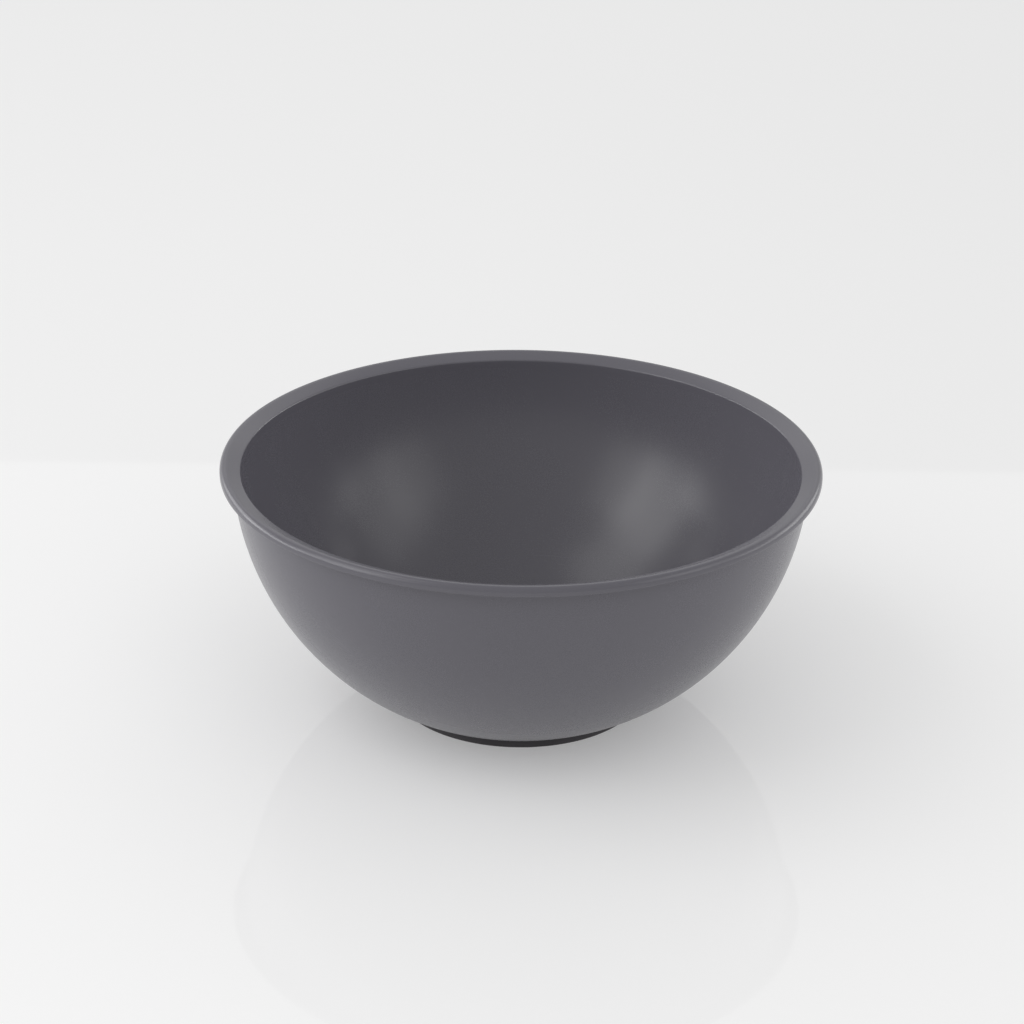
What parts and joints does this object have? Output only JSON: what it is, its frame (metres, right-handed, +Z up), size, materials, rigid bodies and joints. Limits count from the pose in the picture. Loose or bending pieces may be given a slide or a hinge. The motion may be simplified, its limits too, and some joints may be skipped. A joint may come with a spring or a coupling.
{
  "type": "round bowl",
  "caption": "Round open bowl with a rising out-turned rim and a non-slip foot ring, for holding liquids, swabs, instruments or food.",
  "frame": {"origin": "on the table, at the middle of the foot ring, on the bowl's own axis", "axes": "+Z up along the bowl's axis, out of its mouth; X and Y lie in the table and are interchangeable"},
  "size_m": [0.25, 0.25, 0.1079],
  "materials": {
    "shell_plastic": "satin moulded plastic, dark warm grey",
    "foot_rubber": "matt, near black"
  },
  "bodies": {
    "root": {"bowl_shell": "shell_plastic", "foot_ring": "foot_rubber"}
  },
  "joints": []
}
